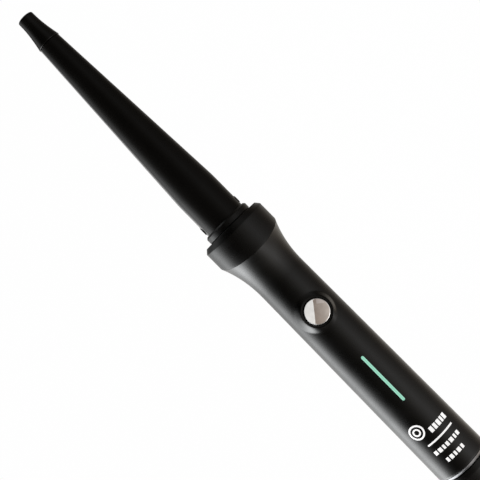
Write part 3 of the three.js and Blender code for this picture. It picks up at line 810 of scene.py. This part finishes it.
# ---- stage, camera and light ----
def make_floor():
    """White plane that gives its own light. It takes no shadow, isn't reflected, and lets light through."""
    reach = 3.0
    corners = [(-reach, -reach, 0), (reach, -reach, 0), (reach, reach, 0), (-reach, reach, 0)]
    mesh = bpy.data.meshes.new("floor")
    mesh.from_pydata(corners, [], [(0, 1, 2, 3)])
    floor = bpy.data.objects.new("floor", mesh)
    bpy.context.collection.objects.link(floor)
    material, tree, shader = nodes_of("floor_white")
    pale = tinted(tree, noise(tree, 3), (0.99, 0.99, 0.99), (1, 1, 1))
    tree.links.new(pale, shader.inputs["Emission Color"])
    shader.inputs["Emission Strength"].default_value = 1.0
    shader.inputs["Base Color"].default_value = (0, 0, 0, 1)
    shader.inputs["Roughness"].default_value = 1.0
    shader.inputs["Specular IOR Level"].default_value = 0.0
    dress(floor, material)
    floor.visible_glossy = False
    floor.visible_diffuse = False
    floor.visible_shadow = False


CAMERA_DISTANCE = 0.605
CAMERA_LENS = 82.5
CAMERA_AIM = {"along": -9.1, "across": 1.7}
CAMERA_TILT = math.radians(2.8)  # round the long axis, towards +Y
TIP_ANGLE = math.radians(45.36)  # the tip points this far above the picture's left


def make_camera():
    """Looks down on the wand, with the long axis turned in the picture as in the photograph."""
    back = Vector((0, math.sin(CAMERA_TILT), math.cos(CAMERA_TILT)))
    along = Vector((1, 0, 0))
    across = back.cross(along)
    c, s = math.cos(TIP_ANGLE), math.sin(TIP_ANGLE)
    right = -c * along - s * across
    up = s * along - c * across
    aim = place(CAMERA_AIM["along"]) + across * CAMERA_AIM["across"] * MM
    data = bpy.data.cameras.new("camera")
    data.lens = CAMERA_LENS
    data.sensor_width = 36
    data.clip_start = 0.01
    camera = bpy.data.objects.new("camera", data)
    bpy.context.collection.objects.link(camera)
    rotation = Matrix((right, up, back)).transposed().to_4x4()
    camera.matrix_world = Matrix.Translation(aim + back * CAMERA_DISTANCE) @ rotation
    bpy.context.scene.camera = camera


def softbox(name, place_at, towards, size, radiance, only, colour=(1, 1, 1), roll=0.0):
    """Rectangular soft light of the given radiance that lights nothing but one piece."""
    data = bpy.data.lights.new(name, "AREA")
    data.shape = "RECTANGLE"
    data.size, data.size_y = size
    data.energy = radiance * math.pi * size[0] * size[1]
    data.color = colour
    light = bpy.data.objects.new(name, data)
    bpy.context.collection.objects.link(light)
    look = (Vector(towards) - Vector(place_at)).to_track_quat("-Z", "Y").to_matrix().to_4x4()
    light.matrix_world = Matrix.Translation(place_at) @ look @ Matrix.Rotation(roll, 4, "Z")
    light.visible_camera = False
    receivers = bpy.data.collections.new(name + "_receivers")
    receivers.objects.link(bpy.data.objects[only])
    light.light_linking.receiver_collection = receivers


# Light round the wand: degrees from straight up, positive towards +Y, then brightness and tint. The levels
# here and in STUDIO_FALL were tuned by comparing renders with the photograph's shading.
STUDIO = [
    (-180, 0.50, (1.0, 0.96, 0.9)),
    (-150, 0.42, (1.0, 0.96, 0.88)),
    (-128, 0.30, (1.0, 0.90, 0.78)),
    (-112, 0.18, (1.0, 0.86, 0.72)),
    (-90, 0.13, (1.0, 0.9, 0.82)),
    (-60, 0.28, (1.0, 0.96, 0.92)),
    (-40, 0.43, (1.0, 0.98, 0.97)),
    (-20, 0.28, (1.0, 0.96, 0.9)),
    (0, 0.12, (1.0, 0.93, 0.84)),
    (25, 0.05, (1.0, 0.9, 0.76)),
    (45, 0.03, (1.0, 0.92, 0.82)),
    (60, 0.08, (1.0, 0.99, 0.98)),
    (75, 0.5, (0.98, 1.0, 1.0)),
    (90, 2.2, (0.97, 0.99, 1.0)),
    (103, 3.8, (0.97, 0.99, 1.0)),
    (116, 3.7, (0.97, 0.99, 1.0)),
    (130, 1.6, (0.98, 1.0, 1.0)),
    (150, 0.75, (1.0, 1.0, 1.0)),
    (180, 0.5, (1.0, 0.96, 0.9)),
]
STUDIO_PEAK = 5.0
# The same light along the wand: how far a direction leans to the tip, then brightness on the -Y and +Y sides.
STUDIO_FALL = [
    (-0.95, 3.5, 0.1), (-0.82, 3.2, 0.7), (-0.65, 3.2, 2.0), (-0.5, 3.1, 2.5),
    (0.05, 0.9, 0.84), (0.23, 0.7, 0.3), (0.45, 0.6, 0.22), (0.9, 0.5, 0.1),
]


def ramp_of(tree, fac, stops):
    """Colours along a value, from (position, colour) stops."""
    ramp = tree.nodes.new("ShaderNodeValToRGB")
    tree.links.new(fac, ramp.inputs["Fac"])
    elements = ramp.color_ramp.elements
    while len(elements) < len(stops):
        elements.new(0.5)
    for element, (position, colour) in zip(elements, stops):
        element.position = position
        element.color = (*colour, 1)
    return ramp.outputs["Color"]


def make_world():
    """Soft surroundings: bright low on the +Y side, dim overhead, and brighter towards the handle's end."""
    world = bpy.data.worlds.new("studio")
    world.use_nodes = True
    tree = world.node_tree
    coordinates = tree.nodes.new("ShaderNodeTexCoord")
    split = tree.nodes.new("ShaderNodeSeparateXYZ")
    tree.links.new(coordinates.outputs["Generated"], split.inputs["Vector"])
    angle = tree.nodes.new("ShaderNodeMath")
    angle.operation = "ARCTAN2"
    tree.links.new(split.outputs["Y"], angle.inputs[0])
    tree.links.new(split.outputs["Z"], angle.inputs[1])
    background = tree.nodes["Background"]
    turn = mapped(tree, angle.outputs["Value"], 0, 1, -math.pi, math.pi)
    round_stops = [((a + 180) / 360, [level / STUDIO_PEAK * c for c in tint]) for a, level, tint in STUDIO]
    tree.links.new(ramp_of(tree, turn, round_stops), background.inputs["Color"])

    along_stops = [((along + 1) / 2, (minus_y, plus_y, 0)) for along, minus_y, plus_y in STUDIO_FALL]
    fall = ramp_of(tree, mapped(tree, split.outputs["X"], 0, 1, -1, 1), along_stops)
    sides = tree.nodes.new("ShaderNodeSeparateColor")
    tree.links.new(fall, sides.inputs["Color"])
    blend = tree.nodes.new("ShaderNodeMix")
    tree.links.new(mapped(tree, split.outputs["Y"], 0, 1, -0.3, 0.5), blend.inputs["Factor"])
    tree.links.new(sides.outputs["Red"], blend.inputs["A"])
    tree.links.new(sides.outputs["Green"], blend.inputs["B"])
    strength = tree.nodes.new("ShaderNodeMath")
    strength.operation = "MULTIPLY"
    tree.links.new(blend.outputs["Result"], strength.inputs[0])
    strength.inputs[1].default_value = STUDIO_PEAK
    tree.links.new(strength.outputs["Value"], background.inputs["Strength"])
    bpy.context.scene.world = world


CARD_ANGLE = math.radians(52)
CARD_LEVEL = {"white": 0.78, "warm": 0.137, "rim": 2.2, "patch": 0.14}


def make_button_cards():
    """Cards that only the button sees: a white and a warm one that meet, a rim light and a patch."""
    button = "button_cap_mirror"
    towards_white = Vector((math.cos(CARD_ANGLE), math.sin(CARD_ANGLE), 0))
    down = Vector((0, 0, -1))
    meeting = Vector((BUTTON_X - 0.09, -0.045, 0.9)) + towards_white * 0.05
    for name, side, tint in (("white", 1, (1, 1, 0.99)), ("warm", -1, (1.0, 0.70, 0.55))):
        middle = meeting + towards_white * side * 0.3
        level = CARD_LEVEL[name]
        softbox(f"card_{name}", middle, middle + down, (0.6, 1.2), level, button, tint, CARD_ANGLE)
    beside_button = Vector((BUTTON_X - 0.48, -0.17, AXIS_Z + 0.25))
    softbox("card_rim", beside_button, (BUTTON_X, 0, AXIS_Z), (0.3, 0.3), CARD_LEVEL["rim"], button)
    patch = Vector((BUTTON_X + 0.03, -0.21, 0.85))
    tint = (0.95, 0.94, 1.0)
    softbox("card_patch", patch, patch + down, (0.12, 0.14), CARD_LEVEL["patch"], button, tint, CARD_ANGLE)


def make_edge_light():
    """Light from below the floor's level on the +Y side, which only the barrel sees, for its pale edge."""
    middle = Vector((0.09, 0, AXIS_Z))
    softbox("edge_light", middle + Vector((0, 0.42, -0.9)), middle, (1.2, 0.6), 0.95, "barrel_skin")


make_floor()
make_camera()
make_world()
make_button_cards()
make_edge_light()
bpy.context.scene.view_settings.view_transform = "Standard"
